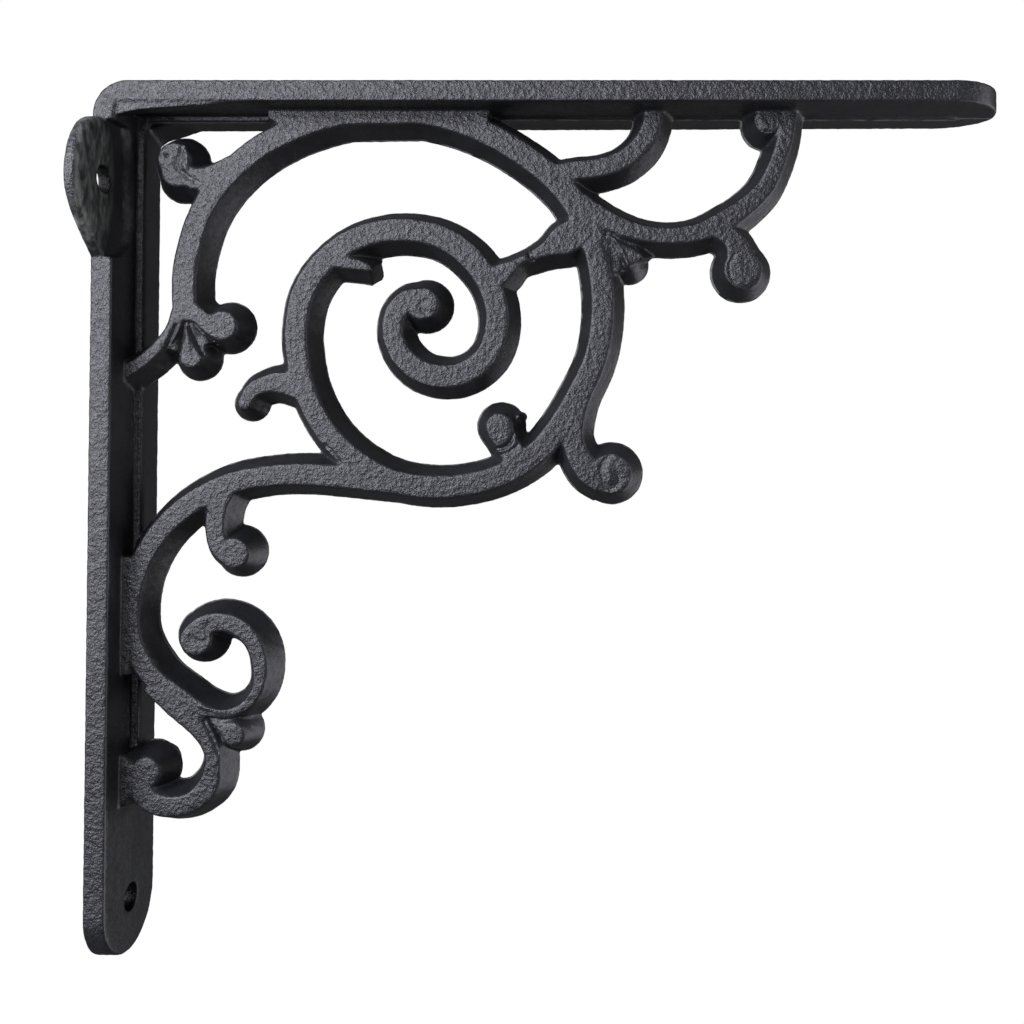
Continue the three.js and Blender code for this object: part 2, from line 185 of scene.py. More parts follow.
# Carved lobes that lie a little behind the bars' faces, written as the bars are
LOBES: dict[str, tuple[Point, ...]] = {
    "foot side leaf left": ((18.83, -32.52, 0.95), (16.29, -39.17, 1.89)),
    "foot side leaf right": ((20.96, -32.52, 0.95), (23.86, -37.99, 1.89)),
    "fan lobe right": (
        (119.87, -11.55, 0.71), (123.2, -15.13, 1.66), (125.58, -16.8, 2.13), (126.5, -18.4, 2.3),
    ),
    "fan lobe left": ((118.92, -12.51, 0.71), (121.3, -18.23, 1.42), (122.01, -20.62, 1.18)),
    "palmette": ((25.43, -124.43, 0.71), (29.22, -127.46, 2.01), (31.59, -129.79, 2.84)),
}

# Carved lines on the scroll's face in millimetres: half width, depth (less than 0 stands out), places
STROKES: dict[str, Stroke] = {
    "foot strut groove": Stroke(0.45, 0.8, ((17.41, -33.23), (16.02, -36.32), (14.63, -39.17))),
    "foot ridge groove": Stroke(0.5, 1.1, (
        (19.3, -32.76), (18.62, -35.61), (18.17, -38.22), (17.5, -41.55),
    )),
    "foot drop groove": Stroke(0.5, 1.1, (
        (20.25, -32.76), (21.23, -35.37), (22.44, -37.99), (23.65, -40.12),
    )),
    "foot neck groove": Stroke(0.45, 0.9, (
        (21.2, -32.76), (23.12, -34.66), (24.79, -36.09), (26.23, -37.51),
    )),
    "foot drop crown": Stroke(0.55, -0.3, ((19.78, -33.47), (20.04, -35.61), (20.55, -38.7))),
    "fan stem groove": Stroke(0.5, 0.5, (
        (118.68, -13.46), (119.87, -16.32), (120.82, -19.66), (121.3, -22.52),
    )),
    "fan ridge groove": Stroke(0.55, 0.6, (
        (120.82, -13.22), (122.01, -15.13), (123.2, -17.52), (124.15, -19.9),
    )),
    "fan ridge": Stroke(0.5, -0.35, (
        (121.3, -12.74), (122.72, -14.65), (123.91, -17.28), (124.86, -19.42),
    )),
    "fan branch groove": Stroke(0.4, 0.5, (
        (120.58, -11.31), (122.72, -12.98), (125.34, -14.18), (127.71, -15.61),
    )),
    "palmette stem groove": Stroke(0.4, 0.6, (
        (24.75, -126.76), (26.18, -129.33), (27.38, -131.89), (28.11, -134.22),
    )),
    "palmette ridge groove": Stroke(0.4, 0.8, (
        (25.92, -126.53), (27.35, -128.86), (28.78, -130.96), (30.21, -132.59),
    )),
    "palmette top groove": Stroke(0.45, 0.9, (
        (25.91, -126.06), (28.74, -126.53), (31.79, -126.29), (34.37, -124.89),
    )),
    "curl root ridge": Stroke(0.4, -0.3, (
        (23.3, -122.79), (26.36, -123.73), (29.42, -124.19), (32.94, -122.79), (35.5, -120.45),
    )),
    "small collar": Stroke(0.45, 0.9, ((92.93, -62.63), (95.06, -62.4), (96.71, -61.21), (97.42, -59.09))),
    "small second collar": Stroke(0.4, 0.5, (
        (94.36, -64.05), (96.48, -63.34), (98.37, -61.92), (99.31, -60.03),
    )),
    "hook swirl": Stroke(0.5, 0.45, (
        (18.39, 9.27), (17.93, 7.35), (16.76, 5.43), (17.97, 3.52), (20.13, 2.08), (22.04, 1.12),
    )),
    "hook inner": Stroke(0.6, -0.25, ((19.35, 8.55), (19.61, 6.15), (19.39, 4.23))),
    "hook pit": Stroke(0.3, 0.7, ((14.67, 7.28), (14.79, 7.16))),
    "hook second pit": Stroke(0.3, 0.4, ((16.48, 5.19), (16.67, 5.05))),
    "stem crease": Stroke(0.4, 0.4, ((23.54, -76.8), (24.73, -77.27), (25.92, -78.45))),
    "bar crease": Stroke(0.45, 0.5, ((52.96, -61.69), (54.86, -63.58), (56.53, -65.7))),
    "wall crease": Stroke(0.4, 0.4, ((7.6, -87.16), (8.52, -85.28), (9.44, -83.39))),
    "lower ball rim": Stroke(0.4, 0.35, (
        (120.84, -63.81), (118.72, -65.47), (118.01, -67.83), (118.72, -70.43), (120.61, -72.32),
    )),
    "lower ball lump": Stroke(0.55, -0.4, ((120.14, -67.59), (120.37, -69.96))),
    "lower ball dent": Stroke(0.5, 0.4, ((122.03, -68.3), (122.74, -70.19), (121.32, -71.84))),
    "lower ball pit": Stroke(0.35, 0.35, ((118.72, -72.08), (119.43, -72.32))),
    "right ball rim": Stroke(0.35, 0.35, (
        (150.05, -16.56), (148.86, -18.23), (148.61, -20.38), (149.32, -22.52), (150.98, -23.95),
        (153.11, -24.19), (155.02, -23.24),
    )),
    "shelf ball rim": Stroke(0.35, 0.4, ((155.37, 16.22), (155.84, 14.3), (157.03, 13.1), (158.7, 13.1))),
    "curl end dent": Stroke(0.45, 0.3, ((21.96, -106.65), (22.91, -107.82), (24.56, -108.05))),
    "curl end swirl": Stroke(0.45, 0.25, ((25.5, -107.58), (25.0, -105.24), (25.93, -103.37))),
    "leaf tip groove": Stroke(0.5, 1.0, ((101.1, -15.85), (101.34, -17.04), (102.29, -17.99))),
    "spiral end swirl": Stroke(0.45, 0.25, (
        (76.21, -27.29), (75.27, -28.95), (76.46, -30.38), (78.59, -30.14),
    )),
}


def linear(code: str) -> tuple[float, float, float, float]:
    """Turn an sRGB hex colour into linear values.

    Args:
        code: Six hex digits after a hash sign.

    Returns:
        Red, green, blue and an opacity of one.
    """
    parts = [int(code[i : i + 2], 16) / 255 for i in (1, 3, 5)]
    red, green, blue = (p / 12.92 if p <= 0.04045 else ((p + 0.055) / 1.055) ** 2.4 for p in parts)
    return red, green, blue, 1.0


def add_node(
    tree: bpy.types.NodeTree,
    kind: str,
    settings: dict[str, object] | None = None,
    values: dict[str | int, object] | None = None,
    links: dict[str | int, Socket] | None = None,
) -> bpy.types.Node:
    """Add a node with its settings, socket values and incoming links.

    Args:
        tree: Node tree to add to.
        kind: Blender's name for the node's type.
        settings: Properties of the node.
        values: Input sockets by name or number and what they hold.
        links: Input sockets by name or number and the output that feeds each.

    Returns:
        The new node.
    """
    node = tree.nodes.new(kind)
    for name, value in (settings or {}).items():
        setattr(node, name, value)
    for name, value in (values or {}).items():
        node.inputs[name].default_value = value
    for name, output in (links or {}).items():
        tree.links.new(output, node.inputs[name])
    return node


def put_down() -> None:
    """Leave edit mode and deselect every object."""
    if bpy.context.object and bpy.context.object.mode != "OBJECT":
        bpy.ops.object.mode_set(mode="OBJECT")
    bpy.ops.object.select_all(action="DESELECT")


def pick_up(piece: Piece) -> None:
    """Make a piece the only selected object and the active one."""
    put_down()
    piece.select_set(True)
    bpy.context.view_layer.objects.active = piece


def open_up(piece: Piece) -> None:
    """Put a piece in edit mode with all of it selected."""
    pick_up(piece)
    bpy.ops.object.mode_set(mode="EDIT")
    choose_all()


def choose_all() -> None:
    """Select everything on the opened piece."""
    bpy.ops.mesh.select_all(action="SELECT")


def choose_edges(piece: Piece, test: Callable[[Vector, Vector], bool]) -> None:
    """Select the edges of an opened piece whose two ends pass a test."""
    bpy.ops.mesh.select_mode(type="EDGE")
    bpy.ops.mesh.select_all(action="DESELECT")
    mesh = bmesh.from_edit_mesh(piece.data)
    for edge in mesh.edges:
        if test(edge.verts[0].co, edge.verts[1].co):
            edge.select_set(True)
    bmesh.update_edit_mesh(piece.data)


def choose_faces(piece: Piece, test: Callable[[Vector, Vector], bool]) -> None:
    """Select the faces of an opened piece whose centre and normal pass a test."""
    bpy.ops.mesh.select_mode(type="FACE")
    bpy.ops.mesh.select_all(action="DESELECT")
    mesh = bmesh.from_edit_mesh(piece.data)
    for face in mesh.faces:
        if test(face.calc_center_median(), face.normal):
            face.select_set(True)
    bmesh.update_edit_mesh(piece.data)


def extrude_chosen(way: Point) -> None:
    """Extrude what is selected on the opened piece."""
    bpy.ops.mesh.extrude_region_move(TRANSFORM_OT_translate={"value": way})


def round_chosen(width: float, steps: int) -> None:
    """Round the selected edges of the opened piece."""
    bpy.ops.mesh.bevel(offset=width, segments=steps, profile=0.5, affect="EDGES")


def settle() -> None:
    """Put the active object's place, turn and size into its points."""
    bpy.ops.object.transform_apply(location=True, rotation=True, scale=True)


def change(piece: Piece, kind: str, **settings: object) -> None:
    """Put a modifier of a kind and with given settings on a piece, and apply it."""
    pick_up(piece)
    bpy.ops.object.modifier_add(type=kind)
    modifier = piece.modifiers[-1]
    for name, value in settings.items():
        setattr(modifier, name, value)
    bpy.ops.object.modifier_apply(modifier=modifier.name)


def cut(piece: Piece, tool: Piece) -> None:
    """Cut a tool out of a piece and remove the tool."""
    change(piece, "BOOLEAN", operation="DIFFERENCE", solver="EXACT", object=tool)
    bpy.data.objects.remove(tool, do_unlink=True)


def write_points(piece: Piece, points: np.ndarray) -> None:
    """Move a piece's points to the places given."""
    piece.data.vertices.foreach_set("co", points.reshape(-1).astype(np.float32))
    piece.data.update()


def read_rows(rows: bpy.types.bpy_prop_collection, name: str, width: int, kind: type) -> np.ndarray:
    """Read one property of every row in a mesh's collection.

    Args:
        rows: The mesh's points, normals or edges.
        name: Name of the property.
        width: How many numbers it holds.
        kind: Type of these numbers.

    Returns:
        One row of numbers for each row of the collection.
    """
    values = np.empty(len(rows) * width, kind)
    rows.foreach_get(name, values)
    return values.reshape(-1, width)


def triangles(piece: Piece) -> int:
    """Count the triangles that a piece's faces come to."""
    return sum(len(face.vertices) - 2 for face in piece.data.polygons)


def block(name: str, low: Point, high: Point) -> Piece:
    """Add a block between two corners.

    Args:
        name: Name for the new piece.
        low: Lowest corner in millimetres.
        high: Highest corner in millimetres.

    Returns:
        The block, with its size applied.
    """
    put_down()
    middle = [(a + b) / 2 for a, b in zip(low, high)]
    bpy.ops.mesh.primitive_cube_add(size=1, location=middle)
    piece = bpy.context.object
    piece.name = name
    piece.scale = [b - a for a, b in zip(low, high)]
    settle()
    return piece


def loft(name: str, rings: np.ndarray) -> Piece:
    """Wrap a grid round a row of rings and close both ends.

    Args:
        name: Name for the new piece.
        rings: Ring by ring, the points of each in millimetres.

    Returns:
        A closed piece whose faces point outwards.
    """
    put_down()
    count, around = rings.shape[:2]
    bpy.ops.mesh.primitive_grid_add(x_subdivisions=around, y_subdivisions=count - 1, size=1)
    piece = bpy.context.object
    piece.name = name
    write_points(piece, np.concatenate((rings, rings[:, :1]), axis=1))
    open_up(piece)
    bpy.ops.mesh.remove_doubles(threshold=0.001)
    choose_all()
    bpy.ops.mesh.fill_holes(sides=0)
    choose_all()
    bpy.ops.mesh.normals_make_consistent(inside=False)
    bpy.ops.object.mode_set(mode="OBJECT")
    return piece


def between(start: np.ndarray, end: np.ndarray, low: float, high: float, at: float) -> np.ndarray:
    """Blend two points by where a value lies between two knots."""
    return (start * (high - at) + end * (at - low)) / (high - low)


def follow(path: tuple[Point, ...], spacing: float) -> tuple[np.ndarray, np.ndarray]:
    """Follow a smooth centripetal curve through a path's points.

    Args:
        path: Distance from the wall, height and half width at each point.
        spacing: Distance between stations in millimetres.

    Returns:
        The stations, written as the path is, and the unit direction at each.
    """
    points = np.array(path, float)
    full = np.vstack((2 * points[0] - points[1], points, 2 * points[-1] - points[-2]))
    rows = []
    for i in range(1, len(full) - 2):
        quad = full[i - 1 : i + 3]
        gaps = np.linalg.norm(np.diff(quad, axis=0), axis=1) ** 0.5
        knots = np.concatenate(([0.0], np.cumsum(gaps)))
        steps = max(2, math.ceil(np.linalg.norm(quad[2, :2] - quad[1, :2]) / spacing))
        for k in range(steps):
            at = knots[1] + (knots[2] - knots[1]) * k / steps
            level = list(quad)
            for gap in (1, 2):
                pairs = zip(level, level[1:], knots, knots[gap:])
                level = [between(start, end, low, high, at) for start, end, low, high in pairs]
            rows.append(between(*level, knots[1], knots[2], at))
    rows.append(points[-1])
    line = np.array(rows)
    heading = np.gradient(line[:, :2], axis=0)
    heading /= np.linalg.norm(heading, axis=1, keepdims=True)
    return line, heading


class Side(Enum):
    """The long edges of the leaves, by their sign across the width."""

    NEAR = -1
    FAR = 1


@dataclass
class Leaves:
    """The wall leaf and the shelf leaf with ear, seat, holes, beads and gussets, in millimetres."""

    reach: float = 214
    drop: float = 206
    width: float = 25
    thickness: float = 5
    crown: float = 0.35
    far_edge: float = 4.2
    corner_radius: float = 8
    edge_rounding: float = 0.7
    top: float = 23.4
    slack: float = 0.01
    hole_radius: float = 3.2
    hole_length: float = 20
    ear_reach: float = 12.2
    ear_overlap: float = 5
    ear_rise: float = 15.8
    ear_fall: float = 16.5
    ear_widest: float = -1.5
    ear_thickness: float = 3.1
    ear_front_rounding: float = 1.5
    ear_back_rounding: float = 0.5
    seat_top: float = 14.2
    seat_foot: float = -18
    seat_outside: float = 4
    seat_depth: float = 12
    seat_slope: tuple[Flat, ...] = ((4.5, 0), (7.5, 0.5))
    seat_crest: Flat = (-1.9, 5.6)
    seat_runout: tuple[Flat, ...] = ((0, 0.25), (1.2, 0.55), (4, 0.85), (8, 1))
    bead_height: float = 1.7
    bead_crest: float = 2
    bead_base: float = 2.7
    bead_root: float = 1.3
    bead_fillet: float = 1.6
    bead_share: float = 0.77
    bead_runout: tuple[Flat, ...] = ((1.2, 0), (0.3, 0.3), (0, 0.9))
    shelf_bead: float = 1.0
    low_bead: float = 0.4
    high_bead_end: float = 40
    web_root: float = 0.5
    near_gusset: tuple[Flat, ...] = ((33, 0), (26, 0.5), (15, 1.2), (5.5, 1.9), (0, 3.2))
    far_gusset: tuple[Flat, ...] = ((12.5, 0), (6.6, 2.2), (2.2, 3.4), (0, 5))
    gusset_root: float = 0.5
    gusset_inner_share: float = 0.4

    @property
    def half(self) -> float:
        """Half the width of a leaf."""
        return self.width / 2

    @property
    def underside(self) -> float:
        """Height of the shelf leaf's lower face."""
        return self.top - self.thickness

    @property
    def bottom(self) -> float:
        """Height of the wall leaf's lower end."""
        return self.top - self.drop

    def plates(self) -> Piece:
        """Make both leaves from one block, extruded round the corner.

        Returns:
            The two leaves with round ends, a rounded corner and crowned inner faces.
        """
        low = (0, -self.half, self.bottom)
        piece = block("leaves", low, (self.thickness, self.half, self.underside))
        open_up(piece)
        choose_faces(piece, lambda place, normal: normal.z > 0.9)
        extrude_chosen((0, 0, self.thickness))
        choose_faces(piece, lambda place, normal: normal.x > 0.9 and place.z > self.underside)
        extrude_chosen((self.reach - self.thickness, 0, 0))
        choose_all()
        bpy.ops.mesh.dissolve_limited(angle_limit=math.radians(1))
        choose_edges(piece, self.at_corner)
        round_chosen(self.corner_radius, 12)
        choose_edges(piece, self.at_far_end)
        round_chosen(self.half - self.slack, 20)
        choose_all()
        bpy.ops.mesh.bisect(plane_co=(0, 0, 0), plane_no=(0, 1, 0))
        bpy.ops.object.mode_set(mode="OBJECT")
        for point in piece.data.vertices:
            self.crown_point(point.co)
        sharp = {"limit_method": "ANGLE", "angle_limit": math.radians(35)}
        change(piece, "BEVEL", width=self.edge_rounding, segments=3, **sharp)
        return piece

    def at_corner(self, a: Vector, b: Vector) -> bool:
        """Tell whether an edge is the outer one where the leaves meet."""
        return max(a.x, b.x) < self.slack and min(a.z, b.z) > self.top - self.slack

    def at_far_end(self, a: Vector, b: Vector) -> bool:
        """Tell whether an edge runs through a leaf's thickness at its far end."""
        through = abs(a.y - b.y) < self.slack
        tip = min(a.x, b.x) > self.reach - self.slack
        foot = max(a.z, b.z) < self.bottom + self.slack
        return through and (tip or foot)

    def crown_point(self, place: Vector) -> None:
        """Raise a point of a leaf's inner face to the crown, and thin the shelf's far edge."""
        share = 1 - abs(place.y) / self.half
        if abs(place.z - self.underside) < self.slack and place.x > self.thickness + self.slack:
            thinned = (self.thickness - self.far_edge) * max(0.0, place.y) / self.half
            place.z += thinned - self.crown * share
        elif abs(place.x - self.thickness) < self.slack and place.z < self.underside + self.slack:
            place.x += self.crown * share

    def ear(self) -> Piece:
        """Make the side ear, round above the upper hole and sloping below it.

        Returns:
            The ear, running a little way into the wall leaf.
        """
        put_down()
        bpy.ops.mesh.primitive_circle_add(vertices=72, radius=1, fill_type="NGON")
        piece = bpy.context.object
        piece.name = "ear"
        for point in piece.data.vertices:
            angle = math.atan2(point.co.y, -point.co.x)
            side, height = math.cos(angle), math.sin(angle)
            if side < 0:
                y = -self.half + self.ear_overlap
                z = self.ear_widest + (self.ear_rise if height > 0 else self.ear_fall) * height
            elif height >= 0:
                y = -self.half - self.ear_reach * side
                z = self.ear_widest + self.ear_rise * height
            else:
                y = -self.half - self.ear_reach * side
                z = self.ear_widest - self.ear_fall * (-angle / (math.pi / 2))
            point.co = (0, y, z)
        open_up(piece)
        extrude_chosen((self.ear_thickness, 0, 0))
        choose_all()
        bpy.ops.mesh.normals_make_consistent(inside=False)
        choose_edges(piece, lambda a, b: min(a.x, b.x) > self.ear_thickness - self.slack)
        round_chosen(self.ear_front_rounding, 6)
        choose_edges(piece, lambda a, b: max(a.x, b.x) < self.slack)
        round_chosen(self.ear_back_rounding, 3)
        bpy.ops.object.mode_set(mode="OBJECT")
        return piece

    def seat(self) -> Piece:
        """Make the cutter that sinks the seat beside the ear and slopes up to the bead."""
        floor, edge = self.ear_thickness, -self.half
        outside = edge - self.seat_outside
        slope = [(edge + along, floor + up) for along, up in self.seat_slope]
        top = [self.seat_crest, (self.seat_crest[0], self.seat_depth), (outside, self.seat_depth)]
        section = [(outside, floor), *slope, *top]
        ends = [(self.seat_foot + rise, share) for rise, share in self.seat_runout]
        ends += [(self.seat_top - 8, 1), (self.seat_top, 0.8)]
        rings = []
        for z, share in ends:
            rings.append([(x, edge + (y - edge) * (share if y > edge else 1), z) for y, x in section])
        return loft("seat", np.array(rings, float))

    def hole(self, y: float, z: float) -> Piece:
        """Make the cutter of a screw hole through the wall leaf."""
        put_down()
        bpy.ops.mesh.primitive_cylinder_add(
            vertices=48,
            radius=self.hole_radius,
            depth=self.hole_length,
            location=(0, y, z),
            rotation=(0, math.pi / 2, 0),
        )
        settle()
        return bpy.context.object

    def beads(self) -> list[Piece]:
        """Make the bead of the parting line along both leaves and in their corner.

        Returns:
            One piece for each leaf and one for the corner.
        """
        return [
            loft("wall bead", self.wall_bead()),
            loft("shelf bead", self.shelf_rings()),
            loft("corner bead", self.corner_web()),
        ]

    def bead_section(self) -> list[Flat]:
        """Give the bead's section, a rounded trapezium, as height over the leaf's back and place across."""
        low = self.thickness + self.crown - self.bead_root
        high = self.thickness + self.crown + self.bead_height
        base, crest = self.bead_base / 2, self.bead_crest / 2
        side = [(low, base - 0.3), (high - 0.3, crest + 0.2), (high - 0.05, crest - 0.1)]
        return [(x, -y) for x, y in side] + [(high, 0)] + side[::-1]

    def wall_bead(self) -> np.ndarray:
        """Give the rings of the wall leaf's bead, which sinks away at its lower end."""
        end = self.underside - (self.drop - self.thickness) * self.bead_share
        heights = (self.underside + 1, *(end + rise for rise, _ in self.bead_runout))
        rings = np.array([[(x, y, z) for x, y in self.bead_section()] for z in heights], float)
        for ring, (_, sunk) in zip(rings[1:], self.bead_runout):
            ring[:, 0] -= np.maximum(0, ring[:, 0] - self.thickness - self.crown) * sunk
        return rings

    def shelf_rings(self) -> np.ndarray:
        """Give the rings of the shelf leaf's bead, high near the wall and low further out."""
        tip = self.reach - self.width / 3
        high = self.high_bead_end
        places = (self.thickness - 1, high - 4, high, tip - 1.2, tip)
        rings = np.array([[(x, y, self.top - t) for t, y in self.bead_section()] for x in places], float)
        below = np.maximum(0, self.underside - self.crown - rings[..., 2])
        heights = (self.shelf_bead, self.shelf_bead, self.low_bead, self.low_bead, 0)
        for row, height in enumerate(heights):
            rings[row, :, 2] += below[row] * (1 - height / self.bead_height)
        return rings

    def corner_web(self) -> np.ndarray:
        """Give the two sides of the web that joins the beads in the leaves' corner."""
        x, z, root = self.thickness, self.underside, self.web_root
        fillet = self.bead_height + self.bead_fillet
        corners = (
            (x - root, z + root),
            (x + fillet, z + root),
            (x + fillet, z - self.shelf_bead),
            (x + self.bead_height, z - fillet),
            (x - root, z - fillet),
        )
        sides = (-self.bead_crest / 2, self.bead_crest / 2)
        return np.array([[(out, y, up) for out, up in corners] for y in sides])

    def gusset(self, side: Side) -> Piece:
        """Make the low gusset in the corner along one edge of the leaves.

        Args:
            side: Near for the edge with the ear, far for the other.

        Returns:
            The gusset, lower towards the middle of the leaves.
        """
        x, sunk = self.thickness, self.gusset_root
        near = side is Side.NEAR
        edge = self.underside if near else self.top - self.far_edge
        profile = self.near_gusset if near else self.far_gusset
        outer = (self.half - self.gusset_root, 1, edge)
        inner = (self.width / 5, self.gusset_inner_share, self.underside)
        rings = []
        for across, share, z in (outer, inner):
            y = side.value * across
            ring = [(x - sunk, y, z + sunk), (x + profile[0][0] * share, y, z + sunk)]
            ring += [(x + along * share, y, z - down * share) for along, down in profile]
            ring.append((x - sunk, y, z - profile[-1][1] * share))
            rings.append(ring)
        return loft("gusset", np.array(rings, float))

    def build(self) -> list[Piece]:
        """Make every part of the leaves.

        Returns:
            The pieces, which overlap and are fused later.
        """
        plates, ear = self.plates(), self.ear()
        cut(plates, self.seat())
        cut(ear, self.hole(-self.half, 0))
        cut(plates, self.hole(-self.half, 0))
        cut(plates, self.hole(0, self.bottom + self.half))
        return [plates, ear, self.gusset(Side.NEAR), self.gusset(Side.FAR), *self.beads()]


@dataclass
class Scrollwork:
    """Bars, round ends and carved lobes, each widest on the parting plane, in millimetres."""

    depth: float = 12.8
    bar_draft: float = 2.4
    ball_draft: float = 2.7
    lobe_depth: float = 10.6
    lobe_draft: float = 3
    full_lobe_depth: float = 12.2
    full_lobes: tuple[str, ...] = ("palmette", "fan lobe right")
    low_ends: tuple[str, ...] = ("fan",)
    mould_shift: float = 0.3
    spacing: float = 0.9
    edge: float = 0.4
    flash: float = 0.15
    flash_half: float = 0.15
    flash_root: float = 0.5
    nub_size: Point = (1.5, 4.2, 1.3)
    nub_place: Point = (98.6, 0, -54.9)

    def slip(self, depth: np.ndarray) -> np.ndarray:
        """Give how far the mould's back half sits towards the wall."""
        return np.where(depth < 0, 0.0, self.mould_shift)

    def section(self, half: float, depth: float, draft: float) -> np.ndarray:
        """Give a bar's section as places across and in depth, with eased face edges.

        Args:
            half: Half width of the face.
            depth: Whole depth of the bar.
            draft: How much further out the parting edge lies.

        Returns:
            Sixteen points round the section.
        """
        ease = min(self.edge, half * 0.5)
        back = depth / 2
        slope = draft * ease / back
        out = half + draft
        side = [
            (half - ease, -back),
            (half + slope * 0.6, -back + ease * 0.8),
            (out - draft * self.flash_root / back, -self.flash_root),
            (out + self.flash, -self.flash_half),
        ]
        right = side + [(x, -y) for x, y in reversed(side)]
        return np.array(right + [(-x, -y) for x, y in right])

    def bar(self, name: str, path: tuple[Point, ...], depth: float, draft: float) -> Piece:
        """Sweep a section along a path.

        Args:
            name: Name for the new piece.
            path: Points of the path with the half width at each.
            depth: Whole depth of the bar.
            draft: How much further out the parting edge lies.

        Returns:
            The bar, closed at both ends.
        """
        line, heading = follow(path, self.spacing)
        rings = []
        for (x, z, half), (run, rise) in zip(line, heading):
            across, deep = self.section(half, depth, draft).T
            rings.append(np.stack((x - self.slip(deep) - rise * across, deep, z + run * across), axis=1))
        return loft(name, np.array(rings))

    def ball(self, name: str, spot: Point) -> Piece:
        """Make a round end, drafted from the parting plane to both faces."""
        x, z, radius = spot
        back = (self.lobe_depth if name in self.low_ends else self.depth) / 2
        turn = np.linspace(0, 2 * math.pi, 56, endpoint=False)
        ease, out = self.edge, radius + self.ball_draft
        front = (
            (-back, radius - ease),
            (-back + ease * 0.8, radius + 0.1),
            (-self.flash_root, out - self.ball_draft * self.flash_root / back),
            (-self.flash_half, out + self.flash),
        )
        rings = []
        for deep, size in front + tuple((-d, s) for d, s in reversed(front)):
            middle = x - float(self.slip(np.array(deep)))
            ring = (middle + size * np.cos(turn), np.full(len(turn), deep), z + size * np.sin(turn))
            rings.append(np.stack(ring, axis=1))
        return loft(name, np.array(rings))

    def lobe(self, name: str, path: tuple[Point, ...]) -> Piece:
        """Make a carved lobe at its own depth."""
        depth = self.full_lobe_depth if name in self.full_lobes else self.lobe_depth
        return self.bar(name, path, depth, self.lobe_draft)

    def nub(self) -> Piece:
        """Make the small nub on the right of the little round end inside the big arch."""
        put_down()
        bpy.ops.mesh.primitive_uv_sphere_add(segments=24, ring_count=12, radius=1)
        piece = bpy.context.object
        piece.scale = self.nub_size
        piece.location = self.nub_place
        settle()
        return piece

    def build(self) -> list[Piece]:
        """Make every bar, round end and lobe.

        Returns:
            The pieces, which overlap and are fused later.
        """
        bars = [self.bar(n, path, self.depth, self.bar_draft) for n, path in BARS.items()]
        lobes = [self.lobe(name, path) for name, path in LOBES.items()]
        ends = [self.ball(name, spot) for name, spot in BALLS.items()]
        return bars + lobes + ends + [self.nub()]


